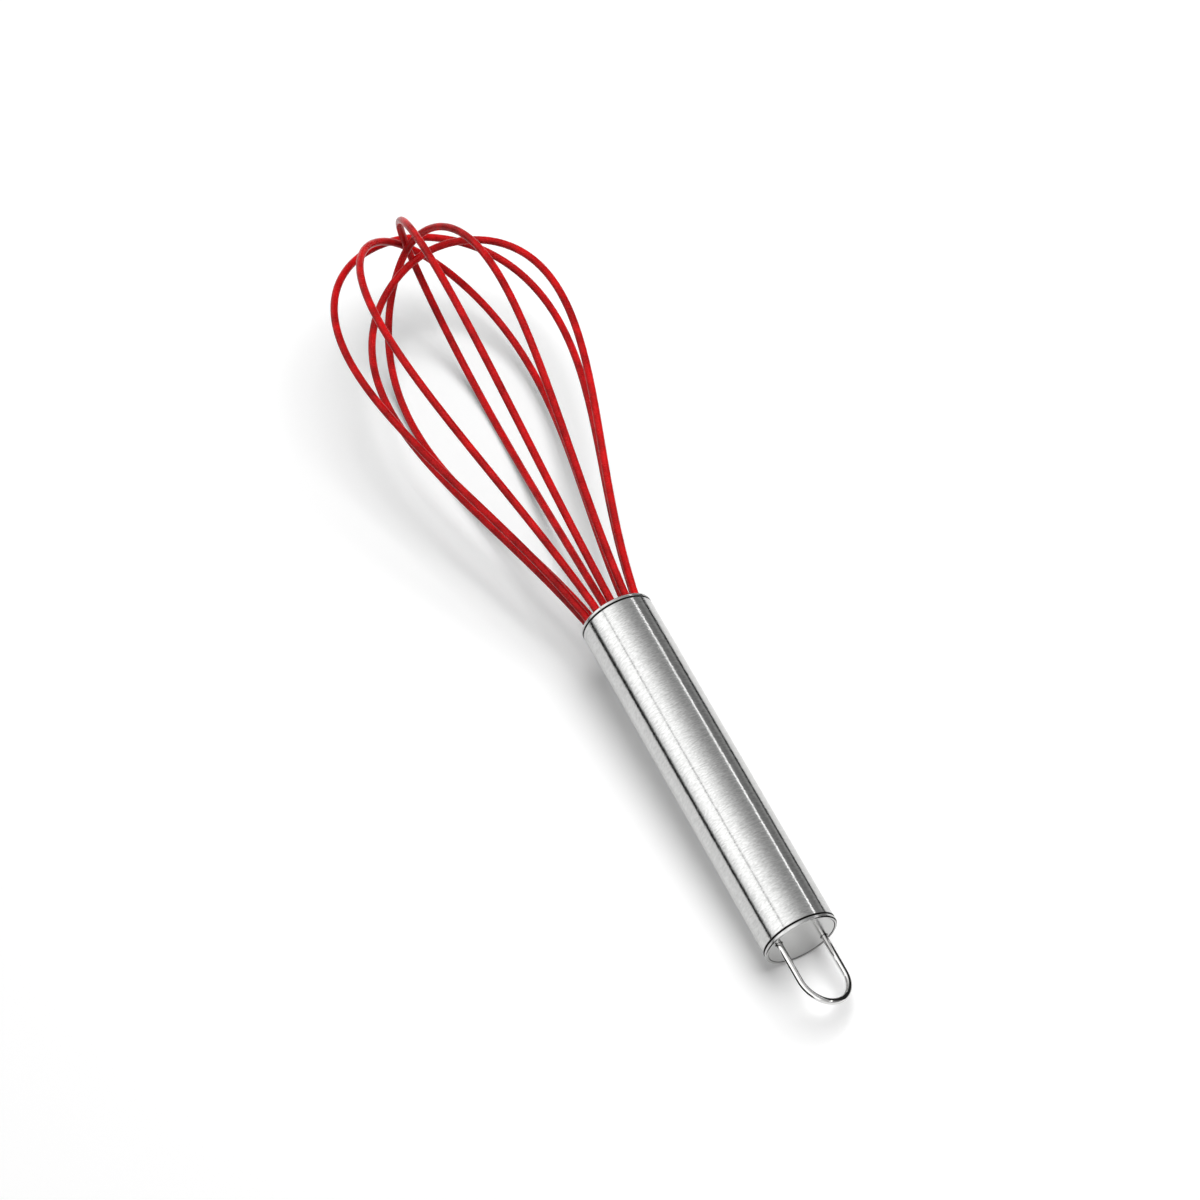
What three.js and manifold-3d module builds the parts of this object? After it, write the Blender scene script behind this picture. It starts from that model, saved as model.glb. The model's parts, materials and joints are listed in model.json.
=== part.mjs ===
// A balloon whisk, in millimetres, lying on a table: +Z up, +X from the handle towards the tip.
//
// Five spring wires in silicone sleeves are bent to loops and held, both ends, in the mouth of a steel
// tube. A thin cap closes each end of the tube, and a bent wire through the rear cap hangs it up.
//
// Every piece is made in the whisk's own frame: X is the axis of the tube, with 0 at the outer face of the
// front cap. A clock angle is in degrees about that axis, 0 straight up and growing towards -Y.

import * as THREE from "three";
import { mergeVertices } from "three/addons/utils/BufferGeometryUtils.js";
import Module from "manifold-3d";

const wasm = await Module();
wasm.setup();

// Clearance between neighbouring pieces.
const FIT_GAP = 0.3;

// Handle tube.
const TUBE_DIAMETER = 24;
const TUBE_WALL = 1;
const TUBE_LENGTH = 121;

// The two end caps: a disc with a rounded edge, and a skirt that sits in the tube.
const CAP_THICKNESS = 1.3;
const CAP_EDGE_RADIUS = 0.5;
const SKIRT_DEPTH = 5;
const SKIRT_WALL = 0.5;

// Spring wires and their sleeves.
const CORE_DIAMETER = 1.4;
const CORE_GAP = 0.25;
const SLEEVE_WALL = 0.3;
const SLEEVE_TO_SKIRT = 0.65;
const SLEEVE_INSERT = 6;
const CROSSING_GAP = 0.35;

// The fillings in the tube that grip the wires: one behind each skirt.
const ANCHOR_TO_SKIRT = 0.4;
const WIRE_ANCHOR_LENGTH = 12;
const LOOP_ANCHOR_LENGTH = 8;
const WIRE_PAST_ANCHOR = 2;

// Balloon: how far the outermost apex stands from the mouth, how a strand leaves its hole, and how far
// short of the tip its widest part lies.
const BALLOON_LENGTH = 163;
const NECK_SPLAY = 9.4;
const NECK_REACH = 70;
const BELLY_TO_TIP = 43;
const FIRST_HOLE_CLOCK = -81.5;

// The five loops, from the outermost apex inwards. back, left and up place the apex, counted in the layer
// that one crossing sleeve takes up. shoulder is how squarely the loop turns there. lean (degrees from its
// hole) and bulge are given for the two strands.
const LOOPS = [
  { back: 0, left: -0.3, up: -1.1, shoulder: 34.5, lean: [4, 7], bulge: [64, 64] },
  { back: 0.9, left: 0.4, up: -0.3, shoulder: 28, lean: [-1, 0], bulge: [64, 64] },
  { back: 1.1, left: -0.1, up: 2.1, shoulder: 19, lean: [1, -2], bulge: [61.5, 59] },
  { back: 2.5, left: -0.3, up: 0.25, shoulder: 22, lean: [-6, 8], bulge: [61.5, 65.5] },
  { back: 3.9, left: -2.35, up: 0.3, shoulder: 21, lean: [8.5, 18], bulge: [61, 60.5] },
];
// The strands that the balloon lies on: the second one of the third loop, and of the fourth.
const REST_LOOP_RIGHT = 2;
const REST_LOOP_LEFT = 3;

// Hanging loop: a wire bent to a U, its legs through the rear cap.
const HANG_WIRE_DIAMETER = 2;
const HANG_LEG_LENGTH = 13.2;
const HANG_LEG_TO_SKIRT = 0.4;
const HANG_CLOCK = -63.5;

// Facets.
const TUBE_SIDES = 48;
const HOLE_SIDES = 12;
const SLEEVE_SIDES = 8;
const CORE_SIDES = 6;
const HANG_SIDES = 10;
const EDGE_STEPS = 3;
const STRAND_STEPS = 20;
const BOW_STEPS = 14;
const LAYING_PASSES = 12;

// Sizes that follow from the ones above.
const tubeRadius = TUBE_DIAMETER / 2;
const boreRadius = tubeRadius - TUBE_WALL;
const skirtRadius = boreRadius - FIT_GAP;
const skirtInnerRadius = skirtRadius - SKIRT_WALL;
const coreRadius = CORE_DIAMETER / 2;
const sleeveBoreRadius = coreRadius + CORE_GAP;
const sleeveRadius = sleeveBoreRadius + SLEEVE_WALL;
const ringRadius = skirtInnerRadius - SLEEVE_TO_SKIRT - sleeveRadius;
const layer = 2 * sleeveRadius + CROSSING_GAP;
const hangRadius = HANG_WIRE_DIAMETER / 2;
const legRadius = skirtInnerRadius - HANG_LEG_TO_SKIRT - hangRadius;

// Stations along the axis, from the mouth to the rear.
const tubeFront = -CAP_THICKNESS - FIT_GAP;
const tubeRear = tubeFront - TUBE_LENGTH;
const endFace = tubeRear - FIT_GAP - CAP_THICKNESS;
const anchorDepth = CAP_THICKNESS + FIT_GAP + SKIRT_DEPTH + ANCHOR_TO_SKIRT;
const coreInsert = anchorDepth + WIRE_ANCHOR_LENGTH + WIRE_PAST_ANCHOR;
const hangInsert = anchorDepth + LOOP_ANCHOR_LENGTH + WIRE_PAST_ANCHOR;

const brushedSteel = new THREE.MeshStandardMaterial({ color: 0xb9b7b2, roughness: 0.34, metalness: 1 });
const satinSteel = new THREE.MeshStandardMaterial({ color: 0xc2c0bb, roughness: 0.28, metalness: 1 });
const polishedSteel = new THREE.MeshStandardMaterial({ color: 0xd6d5d1, roughness: 0.12, metalness: 1 });
const springSteel = new THREE.MeshStandardMaterial({ color: 0xa8a7a3, roughness: 0.4, metalness: 1 });
const redSilicone = new THREE.MeshStandardMaterial({ color: 0xb61f24, roughness: 0.42, metalness: 0 });
const resin = new THREE.MeshStandardMaterial({ color: 0xd9d4c4, roughness: 0.7, metalness: 0 });

// A point off the axis, at a clock angle.
function spoke(clock, radius, station = 0) {
  const angle = THREE.MathUtils.degToRad(clock);
  return new THREE.Vector3(station, -radius * Math.sin(angle), radius * Math.cos(angle));
}

function holeClock(hole) {
  return FIRST_HOLE_CLOCK + (hole * 360) / (2 * LOOPS.length);
}

// A closed mesh as a solid that can be joined and cut.
function toSolid(geometry) {
  const bare = geometry.index ? geometry.toNonIndexed() : geometry.clone();
  bare.deleteAttribute("normal");
  bare.deleteAttribute("uv");
  const merged = mergeVertices(bare, 1e-4);
  const corners = merged.index.array;
  const faces = [];
  for (let i = 0; i < corners.length; i += 3) {
    const [a, b, c] = corners.slice(i, i + 3);
    if (a !== b && b !== c && c !== a) {
      faces.push(a, b, c);
    }
  }
  const mesh = new wasm.Mesh({
    numProp: 3,
    vertProperties: merged.attributes.position.array,
    triVerts: new Uint32Array(faces),
  });
  return new wasm.Manifold(mesh);
}

function toGeometry(solid) {
  const mesh = solid.getMesh();
  const geometry = new THREE.BufferGeometry();
  geometry.setAttribute("position", new THREE.BufferAttribute(mesh.vertProperties, 3));
  geometry.setIndex(new THREE.BufferAttribute(mesh.triVerts, 1));
  geometry.computeVertexNormals();
  return geometry;
}

// Takes each tool's shape out of a body.
function drilled(body, tools) {
  let solid = toSolid(body);
  for (const tool of tools) {
    solid = solid.subtract(toSolid(tool));
  }
  return toGeometry(solid);
}

// Turns an outline of [radius, station] corners about the axis.
function turned(outline) {
  const points = outline.map(([radius, station]) => new THREE.Vector2(radius, station));
  if (THREE.ShapeUtils.area(points) < 0) {
    points.reverse();
  }
  return new THREE.LatheGeometry(points, TUBE_SIDES).rotateZ(-Math.PI / 2);
}

// A round drill along the axis, between two stations, at a place off the axis.
function drill(place, from, to, radius) {
  const bit = new THREE.CylinderGeometry(radius, radius, to - from, HOLE_SIDES);
  bit.rotateZ(-Math.PI / 2);
  return bit.translate((from + to) / 2, place.y, place.z);
}

// A centre line through given stations, so that a sleeve and the wire in it bend at the same places.
class StationPath extends THREE.Curve {
  constructor(stations) {
    super();
    this.stations = stations;
  }

  getPointAt(share) {
    return this.stations[Math.round(share * (this.stations.length - 1))].clone();
  }

  getTangentAt(share) {
    const last = this.stations.length - 1;
    const index = Math.round(share * last);
    const here = this.stations[index];
    const arriving = here.clone().sub(this.stations[Math.max(index - 1, 0)]).normalize();
    const leaving = this.stations[Math.min(index + 1, last)].clone().sub(here).normalize();
    return arriving.add(leaving).normalize();
  }
}

function roundOutline(radius, sides) {
  const corners = [];
  for (let i = 0; i < sides; i += 1) {
    const angle = (i * 2 * Math.PI) / sides;
    corners.push(new THREE.Vector2(radius * Math.cos(angle), radius * Math.sin(angle)));
  }
  return corners;
}

// A round bar along stations, with a round bore right through it if one is asked for.
function swept(stations, radius, sides, bore = 0) {
  const section = new THREE.Shape(roundOutline(radius, sides));
  if (bore > 0) {
    const flatToFlat = bore / Math.cos(Math.PI / sides);
    section.holes.push(new THREE.Path(roundOutline(flatToFlat, sides)));
  }
  return new THREE.ExtrudeGeometry(section, {
    steps: stations.length - 1,
    bevelEnabled: false,
    extrudePath: new StationPath(stations),
  });
}

// A point on the Bezier curve of some control points.
function bezier(controls, share) {
  let row = controls;
  while (row.length > 1) {
    row = row.slice(1).map((point, i) => row[i].clone().lerp(point, share));
  }
  return row[0];
}

// The control points of one strand: its hole, the neck, the belly, the shoulder and the apex.
function strandControls(index, side) {
  const loop = LOOPS[index];
  const hole = holeClock(index + side * LOOPS.length);
  const swung = hole + loop.lean[side];
  const across = hole + (loop.lean[0] + loop.lean[1]) / 2;
  const splay = THREE.MathUtils.degToRad(NECK_SPLAY);
  const root = spoke(hole, ringRadius);
  const neck = root.clone().add(spoke(swung, NECK_REACH * Math.sin(splay), NECK_REACH * Math.cos(splay)));
  const apex = new THREE.Vector3(BALLOON_LENGTH - loop.back * layer, loop.left * layer, loop.up * layer);
  const belly = spoke(swung, loop.bulge[side], BALLOON_LENGTH - BELLY_TO_TIP);
  belly.y += apex.y / 2;
  belly.z += apex.z / 2;
  const shoulder = apex.clone().add(spoke(across, loop.shoulder));
  return [root, neck, belly, shoulder, apex];
}

// Stations of one strand from inside the tube to the apex of its loop.
function strandStations(index, side, insert) {
  const controls = strandControls(index, side);
  const stations = [controls[0].clone().setX(-insert)];
  for (let i = 0; i <= STRAND_STEPS; i += 1) {
    stations.push(bezier(controls, i / STRAND_STEPS));
  }
  return stations;
}

// Stations of a whole loop: out along one strand and back along the other.
function loopStations(index, insert) {
  const out = strandStations(index, 0, insert);
  const back = strandStations(index, 1, insert).reverse();
  return out.concat(back.slice(1));
}

function hangStations() {
  const stations = [spoke(HANG_CLOCK, legRadius, endFace + hangInsert)];
  for (let i = 0; i <= BOW_STEPS; i += 1) {
    const angle = (i * Math.PI) / BOW_STEPS;
    const station = endFace - HANG_LEG_LENGTH - legRadius * Math.sin(angle);
    stations.push(spoke(HANG_CLOCK, legRadius * Math.cos(angle), station));
  }
  stations.push(spoke(HANG_CLOCK, -legRadius, endFace + hangInsert));
  return stations;
}

// A cap whose outer face is at a station. inwards is -1 when the tube lies towards -X, and 1 towards +X.
function capBody(face, inwards) {
  const outline = [[0, face]];
  for (let i = 0; i <= EDGE_STEPS; i += 1) {
    const angle = (i * Math.PI) / (2 * EDGE_STEPS);
    const radius = tubeRadius - CAP_EDGE_RADIUS * (1 - Math.sin(angle));
    outline.push([radius, face + inwards * CAP_EDGE_RADIUS * (1 - Math.cos(angle))]);
  }
  const discBack = face + inwards * CAP_THICKNESS;
  const skirtEnd = discBack + inwards * (FIT_GAP + SKIRT_DEPTH);
  outline.push([tubeRadius, discBack], [skirtRadius, discBack], [skirtRadius, skirtEnd]);
  outline.push([skirtInnerRadius, skirtEnd], [skirtInnerRadius, discBack], [0, discBack]);
  return turned(outline);
}

function plug(from, to) {
  return turned([[0, from], [skirtRadius, from], [skirtRadius, to], [0, to]]);
}

// Drills for all ten strands, and for the two legs of the hanging loop.
function strandDrills(from, to, radius) {
  return LOOPS.flatMap((_, i) => [i, i + LOOPS.length]).map((hole) =>
    drill(spoke(holeClock(hole), ringRadius), from, to, radius + FIT_GAP),
  );
}

function legDrills(from, to) {
  return [legRadius, -legRadius].map((side) => drill(spoke(HANG_CLOCK, side), from, to, hangRadius + FIT_GAP));
}

function handleTube() {
  const outline = [[boreRadius, tubeFront], [tubeRadius, tubeFront], [tubeRadius, tubeRear]];
  return turned([...outline, [boreRadius, tubeRear], [boreRadius, tubeFront]]);
}

function frontCap() {
  return drilled(capBody(0, -1), strandDrills(tubeFront, -tubeFront, sleeveRadius));
}

function endCap() {
  return drilled(capBody(endFace, 1), legDrills(endFace - CAP_THICKNESS, endFace + 2 * CAP_THICKNESS));
}

function wireAnchor() {
  const front = -anchorDepth;
  const rear = front - WIRE_ANCHOR_LENGTH;
  return drilled(plug(rear, front), strandDrills(rear - FIT_GAP, front + FIT_GAP, coreRadius));
}

function loopAnchor() {
  const rear = endFace + anchorDepth;
  const front = rear + LOOP_ANCHOR_LENGTH;
  return drilled(plug(rear, front), legDrills(rear - FIT_GAP, front + FIT_GAP));
}

const whisk = new THREE.Group();
whisk.rotation.order = "YXZ";

function add(name, geometry, material) {
  const mesh = new THREE.Mesh(geometry, material);
  mesh.name = name;
  whisk.add(mesh);
  return mesh;
}

add("handle_tube", handleTube(), brushedSteel);
add("front_cap", frontCap(), satinSteel);
const endCapMesh = add("end_cap", endCap(), satinSteel);
add("hanging_loop", swept(hangStations(), hangRadius, HANG_SIDES), polishedSteel);
add("wire_anchor", wireAnchor(), resin);
add("loop_anchor", loopAnchor(), resin);
const sleeves = LOOPS.map((_, i) => {
  const core = swept(loopStations(i, coreInsert), coreRadius, CORE_SIDES);
  add(`wire_core_${i + 1}`, core, springSteel);
  const sleeve = swept(loopStations(i, SLEEVE_INSERT), sleeveRadius, SLEEVE_SIDES, sleeveBoreRadius);
  return add(`wire_sleeve_${i + 1}`, sleeve, redSilicone);
});

// The lowest point of a mesh, in the frame of the table.
function lowest(mesh) {
  const corners = mesh.geometry.attributes.position;
  const corner = new THREE.Vector3();
  const low = new THREE.Vector3(0, 0, Infinity);
  for (let i = 0; i < corners.count; i += 1) {
    corner.fromBufferAttribute(corners, i).applyMatrix4(mesh.matrixWorld);
    if (corner.z < low.z) {
      low.copy(corner);
    }
  }
  return low;
}

// Pitches and rolls the whisk until the rim of the rear cap and the two lowest strands are level.
function layDown() {
  for (let pass = 0; pass < LAYING_PASSES; pass += 1) {
    whisk.updateMatrixWorld(true);
    const rear = lowest(endCapMesh);
    const right = lowest(sleeves[REST_LOOP_RIGHT]);
    const left = lowest(sleeves[REST_LOOP_LEFT]);
    const balloon = right.clone().add(left).multiplyScalar(0.5);
    whisk.rotation.x -= Math.atan2(left.z - right.z, left.y - right.y);
    whisk.rotation.y += Math.atan2(balloon.z - rear.z, balloon.x - rear.x);
  }
}

// Stands the whisk on z = 0 with the middle of its box over the origin.
function centre() {
  const box = new THREE.Box3().setFromObject(whisk, true);
  const middle = box.getCenter(new THREE.Vector3());
  whisk.position.set(-middle.x, -middle.y, -box.min.z);
}

layDown();
centre();

const part = new THREE.Group();
part.name = "balloon_whisk";
part.add(whisk);

export default part;
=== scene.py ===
"""A balloon whisk with red silicone loops and a brushed steel handle, lying on a white table.

Lengths are in metres. Pieces are made in the whisk's own frame, where X is the axis of the handle, with
0 at the outer face of the front cap, and are then laid on the table with one matrix. A clock angle is in
degrees about that axis, 0 straight up and growing towards -Y.
"""

import json
import math

import bpy
from mathutils import Matrix, Vector

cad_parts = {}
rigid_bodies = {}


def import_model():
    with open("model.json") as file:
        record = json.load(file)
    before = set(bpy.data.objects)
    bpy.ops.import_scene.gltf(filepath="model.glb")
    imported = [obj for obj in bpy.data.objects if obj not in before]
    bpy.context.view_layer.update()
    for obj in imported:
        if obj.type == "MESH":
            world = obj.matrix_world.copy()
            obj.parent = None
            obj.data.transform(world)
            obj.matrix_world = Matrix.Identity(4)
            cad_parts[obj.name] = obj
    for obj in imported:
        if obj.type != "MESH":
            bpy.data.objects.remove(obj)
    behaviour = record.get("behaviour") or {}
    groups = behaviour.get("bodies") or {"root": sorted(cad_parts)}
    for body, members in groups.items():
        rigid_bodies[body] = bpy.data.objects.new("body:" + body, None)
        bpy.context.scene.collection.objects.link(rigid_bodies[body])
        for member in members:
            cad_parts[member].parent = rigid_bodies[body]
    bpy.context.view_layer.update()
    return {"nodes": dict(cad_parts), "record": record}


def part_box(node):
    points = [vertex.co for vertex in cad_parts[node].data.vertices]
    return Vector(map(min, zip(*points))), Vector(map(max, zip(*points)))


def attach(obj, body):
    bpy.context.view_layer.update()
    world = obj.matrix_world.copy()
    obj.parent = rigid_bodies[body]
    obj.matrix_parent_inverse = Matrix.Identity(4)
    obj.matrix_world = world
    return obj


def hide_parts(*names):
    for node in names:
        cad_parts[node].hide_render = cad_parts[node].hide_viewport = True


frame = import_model()

MM = 0.001

# Handle, caps and clearances.
FIT_GAP = 0.3 * MM
TUBE_DIAMETER = 24 * MM
TUBE_WALL = 1 * MM
TUBE_LENGTH = 121 * MM
TUBE_EDGE_RADIUS = 0.25 * MM
CAP_THICKNESS = 1.3 * MM
CAP_EDGE_RADIUS = 0.5 * MM
CAP_BACK_RADIUS = 0.4 * MM
CAP_BEAD_WIDTH = 0.95 * MM
CAP_BEAD_HEIGHT = 0.25 * MM
SKIRT_DEPTH = 5 * MM
SKIRT_WALL = 0.5 * MM

# Painted shade, standing in for the seams' shadow: how far it reaches from the middle line, how deep it
# lies where it is darkest, and how many times steeper its edge is than an even fade.
SEAM_HALF_WIDTH = 0.7 * MM
SEAM_FULL_DEPTH = 0.07 * MM
BEAD_SEAM_HALF_WIDTH = 0.16 * MM
SEAM_STEEPNESS = 5.0

# Loops and their sleeves.
CORE_DIAMETER = 1.4 * MM
CORE_GAP = 0.25 * MM
SLEEVE_WALL = 0.3 * MM
SLEEVE_TO_SKIRT = 0.65 * MM
SLEEVE_INSERT = 6 * MM
CROSSING_GAP = 0.35 * MM
BALLOON_LENGTH = 163 * MM
NECK_SPLAY = 9.4
NECK_REACH = 70 * MM
NECK_BEND = 5 * MM
BELLY_TO_TIP = 43 * MM
FIRST_HOLE_CLOCK = -81.5

# Each loop: its apex back from the tip, to the left and up, in layers, the reach of its shoulders in mm, and
# for either side the swing from its hole in degrees and how far out its belly is pulled in mm.
LOOPS = [
    {"back": 0, "left": -0.3, "up": -1.1, "shoulder": 34.5, "lean": (4, 7), "bulge": (64, 64)},
    {"back": 0.9, "left": 0.4, "up": -0.3, "shoulder": 28, "lean": (-1, 0), "bulge": (64, 64)},
    {"back": 1.1, "left": -0.1, "up": 2.1, "shoulder": 19, "lean": (1, -2), "bulge": (61.5, 59)},
    {"back": 2.5, "left": -0.3, "up": 0.25, "shoulder": 22, "lean": (-6, 8), "bulge": (61.5, 65.5)},
    {"back": 3.9, "left": -2.35, "up": 0.3, "shoulder": 21, "lean": (8.5, 18), "bulge": (61, 60.5)},
]

# Hanging loop.
HANG_WIRE_DIAMETER = 2 * MM
HANG_LEG_LENGTH = 13.2 * MM
HANG_LEG_TO_SKIRT = 0.4 * MM
HANG_CLOCK = -63.5
HANG_INSERT = 16 * MM

# Round pieces reach a little past flat facets, so the loops are drawn in by this to keep to the frame's box.
DRAWN_IN = 0.06 * MM
BELLY_DRAWN_IN = 0.4 * MM

# How finely the visible surfaces are made.
ROUND_STEPS = 288
EDGE_STEPS = 8
HOLE_STEPS = 64
STRAND_STEPS = 120
BOW_STEPS = 48
WIRE_STEP = 0.8 * MM
SLEEVE_SIDES = 28
HANG_SIDES = 48
SMOOTH_BELOW = math.radians(25)

# How far in from the side the last ring of a flat face lies, in radii of the rounded edge.
FACE_RING_INSET = 1.4

# Camera: its heading from the whisk's own and its tilt down, in degrees, its distance, and where the
# handle's mouth lies off the middle of its view.
CAMERA_HEADING = -26.33
CAMERA_ELEVATION = 53.98
CAMERA_DISTANCE = 1.2487
MOUTH_RIGHT = 4.94 * MM
MOUTH_BELOW = 5.29 * MM
LENS = 120.64
SENSOR = 36

# Sizes that follow. A layer is the room one sleeve takes where loops cross, and a strand's own curve starts
# a little past its bend.
tube_radius = TUBE_DIAMETER / 2
bore_radius = tube_radius - TUBE_WALL
skirt_radius = bore_radius - FIT_GAP
skirt_inner_radius = skirt_radius - SKIRT_WALL
sleeve_radius = CORE_DIAMETER / 2 + CORE_GAP + SLEEVE_WALL
ring_radius = skirt_inner_radius - SLEEVE_TO_SKIRT - sleeve_radius
layer = 2 * sleeve_radius + CROSSING_GAP
hang_radius = HANG_WIRE_DIAMETER / 2
leg_radius = skirt_inner_radius - HANG_LEG_TO_SKIRT - hang_radius
tube_front = -CAP_THICKNESS - FIT_GAP
tube_rear = tube_front - TUBE_LENGTH
end_face = tube_rear - FIT_GAP - CAP_THICKNESS
drill_length = 4 * CAP_THICKNESS
strand_start = 1.2 * NECK_BEND


def whisk_matrix():
    """From the whisk's own frame to the table, read off the frame's handle."""
    mounts = {mount["name"]: mount for mount in frame["record"]["mounts"]}
    axis = -Vector(mounts["end_face"]["axis"]).normalized()
    left = Vector((0, 0, 1)).cross(axis).normalized()
    turn = Matrix((axis, left, axis.cross(left))).transposed()
    low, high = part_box("handle_tube")
    mouth = (low + high) / 2 - axis * (tube_front + tube_rear) / 2
    return Matrix.Translation(mouth) @ turn.to_4x4()


WHISK = whisk_matrix()
MOUTH = WHISK.translation.copy()


# ---------------------------------------------------------------- paths


def spoke(clock, radius, station=0.0):
    """The point at a clock angle, at a radius from the axis and a station along it."""
    angle = math.radians(clock)
    return Vector((station, -radius * math.sin(angle), radius * math.cos(angle)))


def hole_clock(hole):
    return FIRST_HOLE_CLOCK + hole * 360 / (2 * len(LOOPS))


def bezier(controls, share):
    """The point a share of the way along the curve that these controls pull."""
    row = list(controls)
    while len(row) > 1:
        row = [a.lerp(b, share) for a, b in zip(row, row[1:])]
    return row[0]


def strand_controls(index, side):
    """The strand's hole, neck, belly, shoulder and apex."""
    loop = LOOPS[index]
    hole = hole_clock(index + side * len(LOOPS))
    swung = hole + loop["lean"][side]
    across = hole + sum(loop["lean"]) / 2
    splay = math.radians(NECK_SPLAY)
    root = spoke(hole, ring_radius)
    neck = root + spoke(swung, NECK_REACH * math.sin(splay), NECK_REACH * math.cos(splay))
    tip = BALLOON_LENGTH - DRAWN_IN
    apex = Vector((tip - loop["back"] * layer, loop["left"] * layer, loop["up"] * layer))
    belly = spoke(swung, loop["bulge"][side] * MM - BELLY_DRAWN_IN, BALLOON_LENGTH - BELLY_TO_TIP)
    belly += Vector((0, apex.y / 2, apex.z / 2))
    shoulder = apex + spoke(across, loop["shoulder"] * MM)
    return [root, neck, belly, shoulder, apex]


def strand_path(index, side):
    """From inside the tube to the apex, with an eased bend where the strand leaves its hole."""
    controls = strand_controls(index, side)
    root = controls[0]
    direction = (controls[1] - root).normalized()
    bend = [root - Vector((NECK_BEND, 0, 0)), root, root + direction * NECK_BEND]
    path = [root - Vector((SLEEVE_INSERT, 0, 0))]
    path += [bezier(bend, i / EDGE_STEPS) for i in range(EDGE_STEPS + 1)]
    strand = [bezier(controls, i / STRAND_STEPS) for i in range(1, STRAND_STEPS + 1)]
    return path + [point for point in strand if (point - root).length > strand_start]


def loop_path(index):
    return strand_path(index, 0) + strand_path(index, 1)[-2::-1]


def hang_path():
    """Out of the rear cap, round the bow and back in."""
    inside = Vector((HANG_INSERT + HANG_LEG_LENGTH, 0, 0))
    bow = []
    for i in range(BOW_STEPS + 1):
        angle = math.pi * i / BOW_STEPS
        station = end_face - HANG_LEG_LENGTH + DRAWN_IN - leg_radius * math.sin(angle)
        bow.append(spoke(HANG_CLOCK, leg_radius * math.cos(angle), station))
    return [bow[0] + inside, *bow, bow[-1] + inside]


# ---------------------------------------------------------------- node helpers


def add_node(tree, kind, inputs=None, **settings):
    """Adds a node. Each input is a value, or a socket to link from."""
    made = tree.nodes.new(kind)
    for name, value in settings.items():
        setattr(made, name, value)
    for key, value in (inputs or {}).items():
        if isinstance(value, bpy.types.NodeSocket):
            tree.links.new(value, made.inputs[key])
        else:
            made.inputs[key].default_value = value
    return made


def maths(tree, operation, *values):
    return add_node(tree, "ShaderNodeMath", dict(enumerate(values)), operation=operation).outputs[0]


def spread(tree, value, low, high):
    """A mask from 0 to 1 stretched from low to high."""
    inputs = {"Value": value, "To Min": low, "To Max": high}
    return add_node(tree, "ShaderNodeMapRange", inputs).outputs[0]


def make_group(kind, name, takes, gives):
    """An empty node group with its sockets, its input node and its output node."""
    tree = bpy.data.node_groups.new(name, kind)
    for label, socket, default in takes:
        made = tree.interface.new_socket(label, in_out="INPUT", socket_type=socket)
        if default is not None:
            made.default_value = default
    for label, socket in gives:
        tree.interface.new_socket(label, in_out="OUTPUT", socket_type=socket)
    return tree, tree.nodes.new("NodeGroupInput"), tree.nodes.new("NodeGroupOutput")


# ---------------------------------------------------------------- geometry trees


def wire_tree():
    """A round wire along the edges of a mesh, keeping how far along it each point is."""
    takes = [
        ("Geometry", "NodeSocketGeometry", None),
        ("Radius", "NodeSocketFloat", 1 * MM),
        ("Sides", "NodeSocketInt", 16),
        ("Step", "NodeSocketFloat", 1 * MM),
        ("Closed Ends", "NodeSocketBool", True),
        ("Material", "NodeSocketMaterial", None),
    ]
    gives = [("Geometry", "NodeSocketGeometry")]
    tree, given, result = make_group("GeometryNodeTree", "wire_on_path", takes, gives)
    take = given.outputs
    curve = add_node(tree, "GeometryNodeMeshToCurve", {"Mesh": take["Geometry"]}).outputs[0]
    inputs = {"Curve": curve, "Length": take["Step"]}
    even = add_node(tree, "GeometryNodeResampleCurve", inputs, mode="LENGTH")
    length = add_node(tree, "GeometryNodeSplineParameter").outputs["Length"]
    marked = add_node(
        tree,
        "GeometryNodeStoreNamedAttribute",
        {"Geometry": even.outputs[0], "Name": "along", "Value": length},
        data_type="FLOAT",
        domain="POINT",
    )
    inputs = {"Resolution": take["Sides"], "Radius": take["Radius"]}
    section = add_node(tree, "GeometryNodeCurvePrimitiveCircle", inputs)
    inputs = {
        "Curve": marked.outputs[0],
        "Profile Curve": section.outputs[0],
        "Fill Caps": take["Closed Ends"],
    }
    wire = add_node(tree, "GeometryNodeCurveToMesh", inputs)
    smooth = add_node(tree, "GeometryNodeSetShadeSmooth", {"Geometry": wire.outputs[0]})
    real = add_node(tree, "GeometryNodeRealizeInstances", {"Geometry": smooth.outputs[0]})
    inputs = {"Geometry": real.outputs[0], "Material": take["Material"]}
    painted = add_node(tree, "GeometryNodeSetMaterial", inputs)
    tree.links.new(painted.outputs[0], result.inputs[0])
    return tree


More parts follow.
